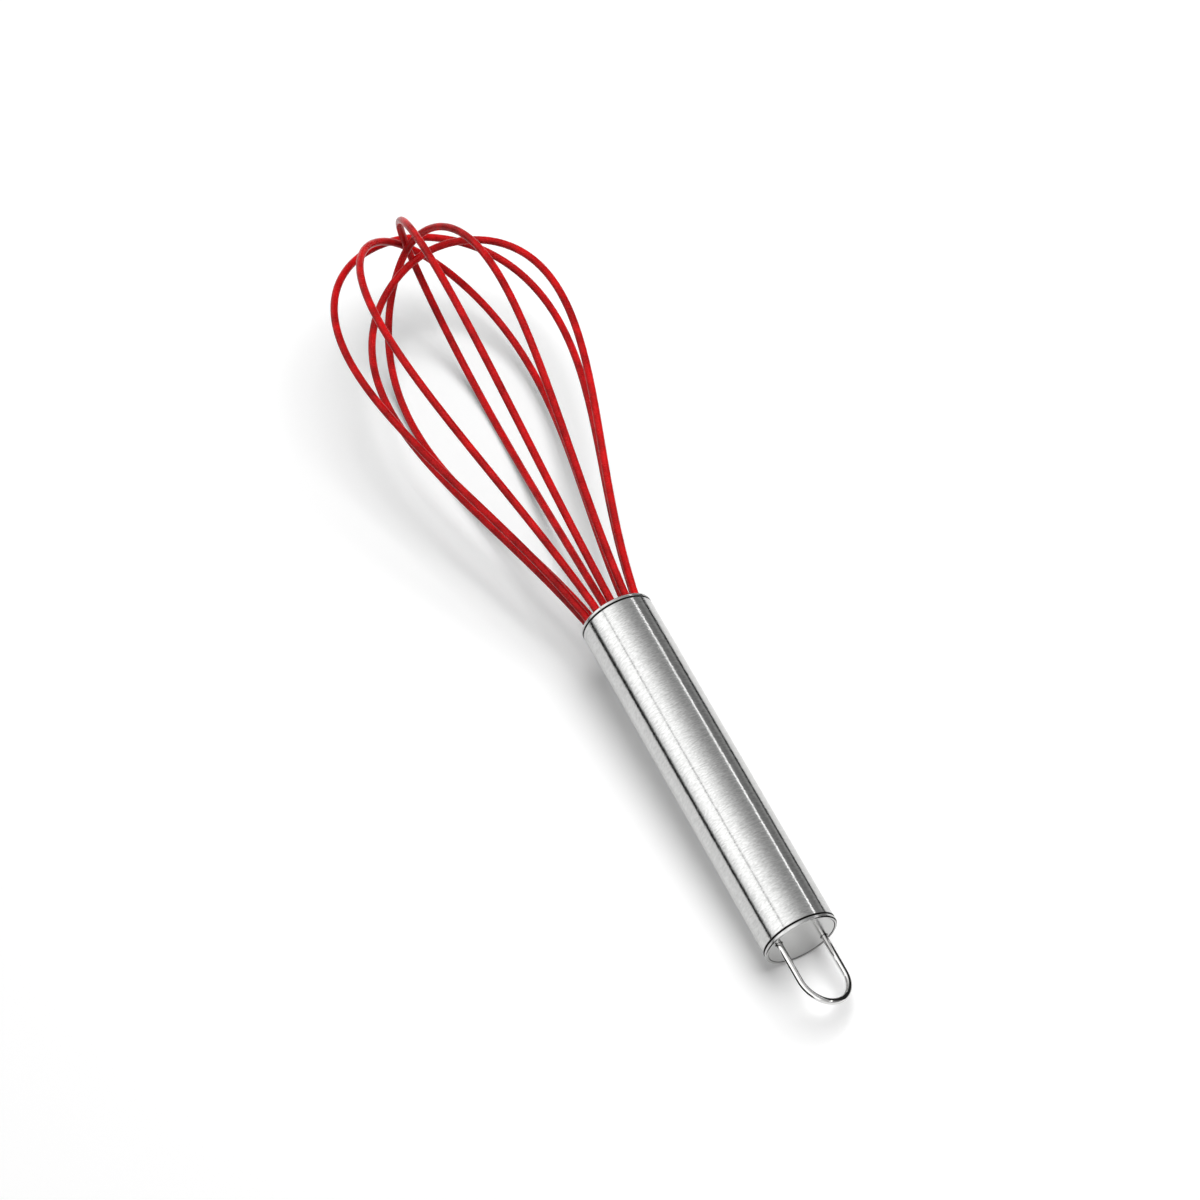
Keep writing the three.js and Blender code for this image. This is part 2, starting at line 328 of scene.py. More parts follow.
def holes_tree():
    """A ring of round holes through a plate that lies across the X axis."""
    takes = [
        ("Geometry", "NodeSocketGeometry", None),
        ("Count", "NodeSocketInt", 2),
        ("Ring Radius", "NodeSocketFloat", 8 * MM),
        ("Hole Radius", "NodeSocketFloat", 1 * MM),
        ("First Turn", "NodeSocketFloat", 0.0),
        ("Station", "NodeSocketFloat", 0.0),
        ("Material", "NodeSocketMaterial", None),
    ]
    gives = [("Geometry", "NodeSocketGeometry")]
    tree, given, result = make_group("GeometryNodeTree", "ring_of_holes", takes, gives)
    take = given.outputs
    index = add_node(tree, "GeometryNodeInputIndex").outputs[0]
    step = maths(tree, "DIVIDE", math.tau, take["Count"])
    turn = maths(tree, "MULTIPLY_ADD", index, step, take["First Turn"])
    upright = add_node(tree, "ShaderNodeCombineXYZ", {"X": take["Station"], "Z": take["Ring Radius"]})
    inputs = {"Vector": upright.outputs[0], "Angle": turn}
    place = add_node(tree, "ShaderNodeVectorRotate", inputs, rotation_type="X_AXIS")
    points = add_node(tree, "GeometryNodePoints", {"Count": take["Count"], "Position": place.outputs[0]})
    inputs = {"Vertices": HOLE_STEPS, "Radius": take["Hole Radius"], "Depth": drill_length}
    bit = add_node(tree, "GeometryNodeMeshCylinder", inputs)
    inputs = {
        "Points": points.outputs[0],
        "Instance": bit.outputs["Mesh"],
        "Rotation": (0, math.pi / 2, 0),
    }
    bits = add_node(tree, "GeometryNodeInstanceOnPoints", inputs)
    solid_bits = add_node(tree, "GeometryNodeRealizeInstances", {"Geometry": bits.outputs[0]})
    cut = add_node(tree, "GeometryNodeMeshBoolean", operation="DIFFERENCE", solver="EXACT")
    tree.links.new(take["Geometry"], cut.inputs[0])
    tree.links.new(solid_bits.outputs[0], cut.inputs[1])
    real = add_node(tree, "GeometryNodeRealizeInstances", {"Geometry": cut.outputs[0]})
    inputs = {"Geometry": real.outputs[0], "Material": take["Material"]}
    painted = add_node(tree, "GeometryNodeSetMaterial", inputs)
    tree.links.new(painted.outputs[0], result.inputs[0])
    return tree


def grown(name, mesh, tree, values, wall=0.0):
    """What a geometry tree makes of a mesh, laid on the table. wall hollows it to a sleeve."""
    seed = bpy.data.objects.new(name + "_seed", mesh)
    bpy.context.scene.collection.objects.link(seed)
    modifier = seed.modifiers.new("tree", "NODES")
    modifier.node_group = tree
    sockets = {item.name: item.identifier for item in tree.interface.items_tree if item.in_out == "INPUT"}
    for label, value in values.items():
        modifier[sockets[label]] = value
    if wall > 0:
        shell = seed.modifiers.new("wall", "SOLIDIFY")
        shell.thickness = wall
        shell.offset = -1
        shell.use_even_offset = True
    seed.data.update()
    graph = bpy.context.evaluated_depsgraph_get()
    evaluated = seed.evaluated_get(graph)
    made = bpy.data.meshes.new_from_object(evaluated, preserve_all_data_layers=True, depsgraph=graph)
    bpy.data.objects.remove(seed)
    return laid(name, made)


def laid(name, mesh):
    """A finished piece: its mesh moved from the whisk's frame to the table."""
    mesh.name = name
    mesh.transform(WHISK)
    mesh.polygons.foreach_set("use_smooth", [True] * len(mesh.polygons))
    mesh.set_sharp_from_angle(angle=SMOOTH_BELOW)
    piece = bpy.data.objects.new(name, mesh)
    bpy.context.scene.collection.objects.link(piece)
    return piece


def path_mesh(name, path):
    """A chain of edges through the points of a path."""
    mesh = bpy.data.meshes.new(name)
    mesh.from_pydata(path, [(i, i + 1) for i in range(len(path) - 1)], [])
    return mesh


def turned_mesh(name, outline):
    """An outline of (radius, station) corners turned about the X axis. Ends on the axis become poles."""
    verts, faces, rings = [], [], []
    for radius, station in outline:
        if radius == 0:
            rings.append([len(verts)] * ROUND_STEPS)
            verts.append((station, 0, 0))
            continue
        rings.append(list(range(len(verts), len(verts) + ROUND_STEPS)))
        verts += [spoke(360 * i / ROUND_STEPS, radius, station) for i in range(ROUND_STEPS)]
    pairs = list(zip(rings, rings[1:]))
    if outline[0][0] > 0:
        pairs.append((rings[-1], rings[0]))
    for one, other in pairs:
        for i in range(ROUND_STEPS):
            j = (i + 1) % ROUND_STEPS
            corners = list(dict.fromkeys((one[i], one[j], other[j], other[i])))
            if len(corners) > 2:
                faces.append(corners)
    mesh = bpy.data.meshes.new(name)
    mesh.from_pydata(verts, [], faces)
    mesh.update()
    return mesh


def unroll(mesh):
    """A UV map whose first direction runs round the axis and whose second runs along it."""
    layer = mesh.uv_layers.new(name="unrolled")
    for face in mesh.polygons:
        turns = []
        for corner in face.vertices:
            place = mesh.vertices[corner].co
            turns.append(math.atan2(-place.y, place.z) / math.tau)
        for loop, turn, corner in zip(face.loop_indices, turns, face.vertices):
            wrapped = turn + round(turns[0] - turn)
            layer.data[loop].uv = (wrapped, mesh.vertices[corner].co.x / TUBE_LENGTH)


def rounded(radius, station, edge, inwards):
    """Corners of a rounded outer edge, from a ring on the flat face to the side."""
    corners = [(radius - FACE_RING_INSET * edge, station)]
    for i in range(EDGE_STEPS + 1):
        angle = math.pi / 2 * i / EDGE_STEPS
        out = radius - edge * (1 - math.sin(angle))
        corners.append((out, station + inwards * edge * (1 - math.cos(angle))))
    return corners


# ---------------------------------------------------------------- shared finishes


def whisk_place_group():
    """Turns object coordinates into the whisk's own frame, in millimetres."""
    takes = [("Position", "NodeSocketVector", None)]
    gives = [
        ("Along", "NodeSocketFloat"),
        ("Radius", "NodeSocketFloat"),
        ("Across", "NodeSocketVector"),
        ("Place", "NodeSocketVector"),
    ]
    tree, given, result = make_group("ShaderNodeTree", "whisk_place", takes, gives)
    place, turn, _ = WHISK.inverted().decompose()
    inputs = {
        "Vector": given.outputs[0],
        "Location": place / MM,
        "Rotation": turn.to_euler("XYZ"),
        "Scale": (1 / MM, 1 / MM, 1 / MM),
    }
    own = add_node(tree, "ShaderNodeMapping", inputs).outputs[0]
    split = add_node(tree, "ShaderNodeSeparateXYZ", {"Vector": own}).outputs
    flat = add_node(tree, "ShaderNodeCombineXYZ", {"Y": split[1], "Z": split[2]}).outputs[0]
    round_about = add_node(tree, "ShaderNodeVectorMath", {0: flat}, operation="NORMALIZE").outputs[0]
    reach = add_node(tree, "ShaderNodeVectorMath", {0: flat}, operation="LENGTH").outputs["Value"]
    tree.links.new(split[0], result.inputs["Along"])
    tree.links.new(reach, result.inputs["Radius"])
    tree.links.new(round_about, result.inputs["Across"])
    tree.links.new(own, result.inputs["Place"])
    return tree


def brushing_group():
    """Short scratches that run round the handle, as a fine mask, and a coarser one of longer strokes."""
    takes = [
        ("Along", "NodeSocketFloat", 0.0),
        ("Across", "NodeSocketVector", None),
        ("Lines Per MM", "NodeSocketFloat", 5.0),
        ("Turns", "NodeSocketFloat", 3.0),
    ]
    gives = [("Scratches", "NodeSocketFloat"), ("Strokes", "NodeSocketFloat")]
    tree, given, result = make_group("ShaderNodeTree", "brushing", takes, gives)
    take = given.outputs

    def lines(fineness, reach, detail):
        counted = maths(tree, "MULTIPLY", take["Along"], take["Lines Per MM"])
        along = maths(tree, "MULTIPLY", counted, fineness)
        turns = maths(tree, "MULTIPLY", take["Turns"], reach)
        inputs = {0: take["Across"], "Scale": turns}
        round_about = add_node(tree, "ShaderNodeVectorMath", inputs, operation="SCALE").outputs[0]
        shift = add_node(tree, "ShaderNodeCombineXYZ", {"X": along}).outputs[0]
        inputs = {0: round_about, 1: shift}
        where = add_node(tree, "ShaderNodeVectorMath", inputs, operation="ADD").outputs[0]
        inputs = {"Vector": where, "Scale": 1.0, "Detail": detail, "Roughness": 0.6}
        return add_node(tree, "ShaderNodeTexNoise", inputs).outputs["Fac"]

    scratches = lines(fineness=1.0, reach=4.0, detail=3.0)
    tree.links.new(scratches, result.inputs["Scratches"])
    strokes = lines(fineness=0.4, reach=1.2, detail=2.0)
    tree.links.new(strokes, result.inputs["Strokes"])
    return tree


def seam_group():
    """A mask of painted shade in a seam, from the distance to its middle line and the depth below its lip.
    """
    takes = [
        ("Distance", "NodeSocketFloat", 0.0),
        ("Half Width", "NodeSocketFloat", 0.3),
        ("Depth", "NodeSocketFloat", 0.0),
        ("Full Depth", "NodeSocketFloat", 0.1),
    ]
    gives = [("Painted Shade", "NodeSocketFloat")]
    tree, given, result = make_group("ShaderNodeTree", "painted_seam_shade", takes, gives)
    take = given.outputs
    inputs = {
        "Value": take["Distance"],
        "From Min": take["Half Width"],
        "From Max": 0.0,
        "To Max": SEAM_STEEPNESS,
    }
    near = add_node(tree, "ShaderNodeMapRange", inputs).outputs[0]
    inputs = {"Value": take["Depth"], "From Max": take["Full Depth"]}
    deep = add_node(tree, "ShaderNodeMapRange", inputs).outputs[0]
    seam_shade = maths(tree, "MULTIPLY", maths(tree, "MINIMUM", near, 1.0), deep)
    tree.links.new(seam_shade, result.inputs["Painted Shade"])
    return tree


def handling_group():
    """Faint smudges and specks from handling."""
    takes = [("Place", "NodeSocketVector", None), ("Smudge Size MM", "NodeSocketFloat", 12.0)]
    gives = [("Smudge", "NodeSocketFloat"), ("Speck", "NodeSocketFloat")]
    tree, given, result = make_group("ShaderNodeTree", "handling", takes, gives)
    size = maths(tree, "DIVIDE", 1.0, given.outputs["Smudge Size MM"])
    inputs = {"Vector": given.outputs["Place"], "Scale": size, "Detail": 4.0, "Distortion": 0.6}
    cloud = add_node(tree, "ShaderNodeTexNoise", inputs).outputs["Fac"]
    inputs = {"Value": cloud, "From Min": 0.4, "From Max": 0.7}
    smudge = add_node(tree, "ShaderNodeMapRange", inputs, interpolation_type="SMOOTHSTEP").outputs[0]
    inputs = {"Vector": given.outputs["Place"], "Scale": 1.7, "Randomness": 1.0}
    cells = add_node(tree, "ShaderNodeTexVoronoi", inputs).outputs["Distance"]
    inputs = {"Value": cells, "From Min": 0.1, "From Max": 0.04}
    speck = add_node(tree, "ShaderNodeMapRange", inputs, interpolation_type="SMOOTHSTEP").outputs[0]
    tree.links.new(smudge, result.inputs["Smudge"])
    tree.links.new(speck, result.inputs["Speck"])
    return tree


WHISK_PLACE = whisk_place_group()
BRUSHING = brushing_group()
SEAM = seam_group()
HANDLING = handling_group()


# Finishes. Tones and roughnesses are pairs, and a pattern goes from the first to the second. A smudge adds
# to the roughness, and a relief is the depth of the pattern as bumps.
# Painted shade for the seams: near black and rougher, standing in for the shadow in the grooves.
PAINTED_SHADE = (0.012, 0.011, 0.010, 1)
PAINTED_SHADE_ROUGHNESS = 0.5
SATIN_SPECULAR = 0.1
TUBE_LINES_PER_MM = 4.0
TUBE_TURNS = 2.2
TUBE_STROKES_SHARE = 0.25
TUBE_TONES = ((0.44, 0.44, 0.435), (0.68, 0.68, 0.675))
TUBE_WORN = (0.40, 0.41, 0.405, 1)
TUBE_WORN_SHARE = 0.3
TUBE_ROUGHNESS = (0.05, 0.11)
TUBE_SMUDGE = 0.04
TUBE_RELIEF = 0.05 * MM
TUBE_ANISOTROPY = 0.75
QUARTER_TURN = 0.25
CAP_TONES = ((0.44, 0.44, 0.435), (0.56, 0.56, 0.555))
CAP_ROUGHNESS = (0.12, 0.22)
CAP_SMUDGE = 0.08
CAP_RELIEF = 0.012 * MM
WIRE_TONES = ((0.66, 0.655, 0.65), (0.76, 0.755, 0.75))
WIRE_ROUGHNESS = (0.02, 0.06)
WIRE_SMUDGE = 0.05
WIRE_RELIEF = 0.01 * MM
SPRING_TONES = ((0.36, 0.36, 0.35), (0.46, 0.455, 0.44))
SPRING_ROUGHNESS = (0.3, 0.45)
SPRING_RELIEF = 0.02 * MM
RESIN_TONES = ((0.62, 0.58, 0.46), (0.76, 0.72, 0.62))
RESIN_ROUGHNESS = (0.55, 0.75)
RESIN_RELIEF = 0.05 * MM
SILICONE_TONES = ((0.26, 0.0, 0.001), (0.8, 0.006, 0.008))
SILICONE_ROUGHNESS = (0.2, 0.32)
SILICONE_SMUDGE = 0.06
SILICONE_RELIEF = 0.03 * MM
SILICONE_DUST = (0.75, 0.22, 0.2, 1)
SILICONE_DUST_SHARE = 0.2
SILICONE_IOR = 1.41
SILICONE_SPECULAR = 0.18

# Sockets of the mix node share their names, so they are told apart by place.
COLOUR_A = 6
COLOUR_B = 7
COLOUR_MIXED = 2
NUMBER_A = 2
NUMBER_B = 3


def new_material(name):
    """A material with its shader, its place sockets and its handling marks."""
    material = bpy.data.materials.new(name)
    material.use_nodes = True
    tree = material.node_tree
    shader = tree.nodes["Principled BSDF"]
    where = add_node(tree, "ShaderNodeTexCoord").outputs["Object"]
    place = add_node(tree, "ShaderNodeGroup", node_tree=WHISK_PLACE)
    tree.links.new(where, place.inputs[0])
    marks = add_node(tree, "ShaderNodeGroup", node_tree=HANDLING)
    tree.links.new(place.outputs["Place"], marks.inputs["Place"])
    return material, tree, shader, place.outputs, marks.outputs


def brushed(tree, place, lines_per_mm, turns):
    group = add_node(tree, "ShaderNodeGroup", node_tree=BRUSHING)
    tree.links.new(place["Along"], group.inputs["Along"])
    tree.links.new(place["Across"], group.inputs["Across"])
    group.inputs["Lines Per MM"].default_value = lines_per_mm
    group.inputs["Turns"].default_value = turns
    return group.outputs


def seam(tree, distance, half_width, depth, full_depth):
    group = add_node(tree, "ShaderNodeGroup", node_tree=SEAM)
    tree.links.new(maths(tree, "ABSOLUTE", distance), group.inputs["Distance"])
    tree.links.new(depth, group.inputs["Depth"])
    group.inputs["Half Width"].default_value = half_width / MM
    group.inputs["Full Depth"].default_value = full_depth / MM
    return group.outputs["Painted Shade"]


def tube_seams(tree, place):
    """Painted shade in the seam at either end of the tube."""
    depth = maths(tree, "SUBTRACT", tube_radius / MM, place["Radius"])
    masks = []
    for edge, outwards in ((tube_front, 1), (tube_rear, -1)):
        middle = (edge + outwards * FIT_GAP / 2) / MM
        distance = maths(tree, "SUBTRACT", place["Along"], middle)
        masks.append(seam(tree, distance, SEAM_HALF_WIDTH, depth, SEAM_FULL_DEPTH))
    return maths(tree, "MAXIMUM", *masks)


def bead_seam(tree, place):
    """Painted shade in the corner inside the bead of the rear cap."""
    distance = maths(tree, "SUBTRACT", place["Radius"], (tube_radius - CAP_BEAD_WIDTH) / MM)
    depth = maths(tree, "SUBTRACT", place["Along"], end_face / MM)
    return seam(tree, distance, BEAD_SEAM_HALF_WIDTH, depth, CAP_BEAD_HEIGHT)


def blend(tree, mask, one, other):
    """A colour that goes from one to the other."""
    inputs = {"Factor": mask, COLOUR_A: one, COLOUR_B: other}
    return add_node(tree, "ShaderNodeMix", inputs, data_type="RGBA").outputs[COLOUR_MIXED]


def between(tree, mask, dark, light):
    """An opaque colour that goes from one tone to the other."""
    return blend(tree, mask, (*dark, 1), (*light, 1))


def raised(tree, height, relief):
    """A normal that follows a pattern as bumps of this depth."""
    inputs = {"Height": height, "Distance": relief}
    return add_node(tree, "ShaderNodeBump", inputs).outputs[0]


def tube_steel():
    """Steel brushed round its axis, a little worn in patches, with painted shade in the seams."""
    material, tree, shader, place, marks = new_material("brushed_tube_steel")
    brush = brushed(tree, place, TUBE_LINES_PER_MM, TUBE_TURNS)
    seam_shade = tube_seams(tree, place)
    scratches = maths(tree, "MULTIPLY", brush["Scratches"], 1 - TUBE_STROKES_SHARE)
    grain = maths(tree, "MULTIPLY_ADD", brush["Strokes"], TUBE_STROKES_SHARE, scratches)
    inputs = {"Value": grain, "From Min": 0.34, "From Max": 0.66}
    sharp = add_node(tree, "ShaderNodeMapRange", inputs).outputs[0]
    steel = between(tree, sharp, *TUBE_TONES)
    inputs = {"Vector": place["Place"], "Scale": 0.07, "Detail": 2.0}
    patch = add_node(tree, "ShaderNodeTexNoise", inputs).outputs["Fac"]
    worn = blend(tree, maths(tree, "MULTIPLY", patch, TUBE_WORN_SHARE), steel, TUBE_WORN)
    # The seams are painted near black as their shade, and are made rougher and not metal.
    tree.links.new(blend(tree, seam_shade, worn, PAINTED_SHADE), shader.inputs["Base Color"])
    rough = maths(tree, "MULTIPLY_ADD", marks["Smudge"], TUBE_SMUDGE, spread(tree, sharp, *TUBE_ROUGHNESS))
    tree.links.new(maths(tree, "MULTIPLY_ADD", seam_shade, PAINTED_SHADE_ROUGHNESS, rough), shader.inputs["Roughness"])
    tree.links.new(raised(tree, grain, TUBE_RELIEF), shader.inputs["Normal"])
    tree.links.new(maths(tree, "SUBTRACT", 1.0, seam_shade), shader.inputs["Metallic"])
    round_about = add_node(tree, "ShaderNodeTangent", direction_type="UV_MAP", uv_map="unrolled")
    tree.links.new(round_about.outputs[0], shader.inputs["Tangent"])
    shader.inputs["Specular IOR Level"].default_value = SATIN_SPECULAR
    shader.inputs["Anisotropic"].default_value = TUBE_ANISOTROPY
    shader.inputs["Anisotropic Rotation"].default_value = QUARTER_TURN
    return material


def cap_steel():
    """Satin steel with a fine mottle, and painted shade in its seams."""
    material, tree, shader, place, marks = new_material("satin_cap_steel")
    seam_shade = maths(tree, "MAXIMUM", tube_seams(tree, place), bead_seam(tree, place))
    inputs = {"Vector": place["Place"], "Scale": 2.2, "Detail": 4.0}
    mottle = add_node(tree, "ShaderNodeTexNoise", inputs).outputs["Fac"]
    steel = between(tree, mottle, *CAP_TONES)
    # The seams and the bead's inner corner are painted near black as their shade.
    tree.links.new(blend(tree, seam_shade, steel, PAINTED_SHADE), shader.inputs["Base Color"])
    rough = maths(tree, "MULTIPLY_ADD", marks["Smudge"], CAP_SMUDGE, spread(tree, mottle, *CAP_ROUGHNESS))
    tree.links.new(maths(tree, "MULTIPLY_ADD", seam_shade, PAINTED_SHADE_ROUGHNESS, rough), shader.inputs["Roughness"])
    tree.links.new(raised(tree, mottle, CAP_RELIEF), shader.inputs["Normal"])
    tree.links.new(maths(tree, "SUBTRACT", 1.0, seam_shade), shader.inputs["Metallic"])
    shader.inputs["Specular IOR Level"].default_value = SATIN_SPECULAR
    return material


def wire_steel():
    """Polished steel wire."""
    material, tree, shader, place, marks = new_material("polished_wire_steel")
    inputs = {"Vector": place["Place"], "Scale": 1.2, "Detail": 3.0}
    drawn = add_node(tree, "ShaderNodeTexNoise", inputs).outputs["Fac"]
    tree.links.new(between(tree, drawn, *WIRE_TONES), shader.inputs["Base Color"])
    rough = maths(tree, "MULTIPLY_ADD", marks["Smudge"], WIRE_SMUDGE, spread(tree, drawn, *WIRE_ROUGHNESS))
    tree.links.new(rough, shader.inputs["Roughness"])
    tree.links.new(raised(tree, drawn, WIRE_RELIEF), shader.inputs["Normal"])
    shader.inputs["Metallic"].default_value = 1
    return material


def spring_steel():
    """Grey drawn wire."""
    material, tree, shader, place, marks = new_material("drawn_spring_steel")
    inputs = {"Vector": place["Place"], "Scale": 4.0, "Detail": 2.0}
    drawn = add_node(tree, "ShaderNodeTexNoise", inputs).outputs["Fac"]
    tree.links.new(between(tree, drawn, *SPRING_TONES), shader.inputs["Base Color"])
    tree.links.new(spread(tree, marks["Smudge"], *SPRING_ROUGHNESS), shader.inputs["Roughness"])
    tree.links.new(raised(tree, drawn, SPRING_RELIEF), shader.inputs["Normal"])
    shader.inputs["Metallic"].default_value = 1
    return material


def cast_resin():
    """Cloudy cast filling."""
    material, tree, shader, place, marks = new_material("cast_resin")
    inputs = {"Vector": place["Place"], "Scale": 0.8, "Detail": 5.0}
    cloudy = add_node(tree, "ShaderNodeTexNoise", inputs).outputs["Fac"]
    tree.links.new(between(tree, cloudy, *RESIN_TONES), shader.inputs["Base Color"])
    tree.links.new(spread(tree, marks["Smudge"], *RESIN_ROUGHNESS), shader.inputs["Roughness"])
    tree.links.new(raised(tree, cloudy, RESIN_RELIEF), shader.inputs["Normal"])
    return material


def red_silicone():
    """Satin silicone: uneven at a few millimetres, finely matt, with a few pale specks of dust."""
    material, tree, shader, place, marks = new_material("red_silicone")
    inputs = {"Vector": place["Place"], "Scale": 0.16, "Detail": 3.0}
    patchy = add_node(tree, "ShaderNodeTexNoise", inputs).outputs["Fac"]
    inputs = {"Vector": place["Place"], "Scale": 3.0, "Detail": 3.0}
    fine = add_node(tree, "ShaderNodeTexNoise", inputs).outputs["Fac"]
    mixed = maths(tree, "MULTIPLY_ADD", fine, 0.5, maths(tree, "MULTIPLY", patchy, 0.5))
    inputs = {"Value": mixed, "From Min": 0.35, "From Max": 0.65}
    clear = add_node(tree, "ShaderNodeMapRange", inputs).outputs[0]
    red = between(tree, clear, *SILICONE_TONES)
    dust = maths(tree, "MULTIPLY", marks["Speck"], SILICONE_DUST_SHARE)
    tree.links.new(blend(tree, dust, red, SILICONE_DUST), shader.inputs["Base Color"])
    even = spread(tree, fine, *SILICONE_ROUGHNESS)
    rough = maths(tree, "MULTIPLY_ADD", marks["Smudge"], SILICONE_SMUDGE, even)
    tree.links.new(rough, shader.inputs["Roughness"])
    tree.links.new(raised(tree, fine, SILICONE_RELIEF), shader.inputs["Normal"])
    shader.inputs["IOR"].default_value = SILICONE_IOR
    shader.inputs["Specular IOR Level"].default_value = SILICONE_SPECULAR
    return material


# ---------------------------------------------------------------- pieces


def finished(piece, slot, *nodes):
    """Rides a piece on the one body and hides the nodes that it stands for. The slot is not used."""
    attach(piece, "root")
    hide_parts(*nodes)
    return piece


def tube_piece(material):
    """The handle's tube, with its outer edges rounded."""
    outer_front = rounded(tube_radius, tube_front, TUBE_EDGE_RADIUS, -1)
    outer_rear = rounded(tube_radius, tube_rear, TUBE_EDGE_RADIUS, 1)[::-1]
    outline = [(bore_radius, tube_front), *outer_front, *outer_rear, (bore_radius, tube_rear)]
    mesh = turned_mesh("tube_shell", outline)
    unroll(mesh)
    mesh.materials.append(material)
    return finished(laid("tube_shell", mesh), "tube_steel", "handle_tube")


def cap_piece(name, node, face, inwards, holes, tree, material):
    """A disc with a rounded bead round its face, a rounded back edge and a thin skirt."""
    back = face + inwards * CAP_THICKNESS
    skirt_end = back + inwards * (FIT_GAP + SKIRT_DEPTH)
    inner_bead = tube_radius - CAP_BEAD_WIDTH
    sunk = face + inwards * CAP_BEAD_HEIGHT
    bead = []
    for i in range(EDGE_STEPS + 1):
        angle = math.pi / 2 * i / EDGE_STEPS
        run = CAP_BEAD_HEIGHT * (1 - math.cos(angle))
        bead.append((inner_bead + run, sunk - inwards * CAP_BEAD_HEIGHT * math.sin(angle)))
    outer = rounded(tube_radius, face, CAP_EDGE_RADIUS, inwards)[1:]
    mirrored = rounded(tube_radius, face, CAP_BACK_RADIUS, inwards)
    back_edge = [(radius, back + face - station) for radius, station in mirrored]
    outline = [
        (0, sunk),
        *bead,
        *outer,
        *back_edge[::-1],
        (skirt_radius, back),
        (skirt_radius, skirt_end),
        (skirt_inner_radius, skirt_end),
        (skirt_inner_radius, back),
        (0, back),
    ]
    if inwards > 0:
        outline.reverse()
    values = {**holes, "Station": face, "Material": material}
    piece = grown(name, turned_mesh(name, outline), tree, values)
    return finished(piece, "cap_steel", node)


def wire_piece(name, node, slot, path, values, tree, wall=0.0):
    """A round wire along a path, or a sleeve of this wall, open at its ends."""
    values = {**values, "Step": WIRE_STEP, "Closed Ends": wall == 0}
    piece = grown(name, path_mesh(name, path), tree, values, wall)
    return finished(piece, slot, node)


def build_whisk():
    wires = wire_tree()
    holes = holes_tree()
    tube_piece(tube_steel())
    satin = cap_steel()
    mouth_holes = {
        "Count": 2 * len(LOOPS),
        "Ring Radius": ring_radius,
        "Hole Radius": sleeve_radius + FIT_GAP,
        "First Turn": math.radians(FIRST_HOLE_CLOCK),
    }
    leg_holes = {
        "Count": 2,
        "Ring Radius": leg_radius,
        "Hole Radius": hang_radius + FIT_GAP,
        "First Turn": math.radians(HANG_CLOCK),
    }
    cap_piece("front_cap_disc", "front_cap", 0.0, -1, mouth_holes, holes, satin)
    cap_piece("end_cap_disc", "end_cap", end_face, 1, leg_holes, holes, satin)
    values = {"Radius": hang_radius, "Sides": HANG_SIDES, "Material": wire_steel()}
    wire_piece("hanging_wire", "hanging_loop", "wire_steel", hang_path(), values, wires)
    values = {"Radius": sleeve_radius, "Sides": SLEEVE_SIDES, "Material": red_silicone()}
    for i in range(len(LOOPS)):
        name = f"silicone_sleeve_{i + 1}"
        wire_piece(name, f"wire_sleeve_{i + 1}", "red_silicone", loop_path(i), values, wires, SLEEVE_WALL)


def finish_inner_nodes():
    """The pieces inside stay as they are, with their own finishes."""
    core = spring_steel()
    resin = cast_resin()
    for name, node in frame["nodes"].items():
        if name.startswith("wire_core"):
            node.data.materials.clear()
            node.data.materials.append(core)
        if name.endswith("_anchor"):
            node.data.materials.clear()
            node.data.materials.append(resin)


# ---------------------------------------------------------------- stage

# The table, what the world adds, and the lamp.
TABLE_SIZE = 40.0
TABLE_COLOUR = 0.9
TABLE_LIFT = 0.19
WORLD_FILL = 0.13
LAMP_TOWARDS = (0.1, -0.24, 1)
LAMP_DISTANCE = 2.0
LAMP_SIZE = 1.8
LAMP_POWER = 43

# The light tent, and the dark cards on the table and beside the eye.
TENT_RADIUS = 1.4
TENT_LENGTH = 8.0
TENT_STEPS = 90
TENT_PEAK = 4.2
FLAG_HEIGHT = 1 * MM
FLAG_NEAR = 0.135
FLAG_LEVEL = 0.02
EYE_CARD_GAP = 6 * MM
EYE_CARD_LOW = 7 * MM
EYE_CARD_TOP_LEFT = 18 * MM
EYE_CARD_TOP_RIGHT = 26 * MM

# What the metal mirrors: degrees from straight overhead, to the left below 0 and to the right above, and
# the level there.
TENT_BANDS = [
    (-90, 0.12),
    (-87, 0.4),
    (-84, 1.05),
    (-78, 1.35),
    (-68, 1.7),
    (-58, 1.9),
    (-50, 1.8),
    (-42.4, 1.76),
    (-41.9, 0.15),
    (-40.3, 0.15),
    (-39.8, 1.74),
    (-24, 1.7),
    (-12, 1.4),
    (0, 1.05),
    (11, 0.8),
    (23, 0.58),
    (36, 0.46),
    (46, 0.46),
    (52, 0.6),
    (54.7, 0.66),
    (55.2, 4.2),
    (56.6, 4.2),
    (57.2, 0.36),
    (64, 0.28),
    (74, 0.24),
    (83, 0.34),
    (90, 0.5),
]


def background_rays(tree):
    """1 for rays that should see the white background, 0 for rays that light the object."""
    rays = add_node(tree, "ShaderNodeLightPath").outputs
    seen = maths(tree, "MAXIMUM", rays["Is Camera Ray"], rays["Is Glossy Ray"])
    return maths(tree, "MAXIMUM", seen, rays["Is Transmission Ray"])


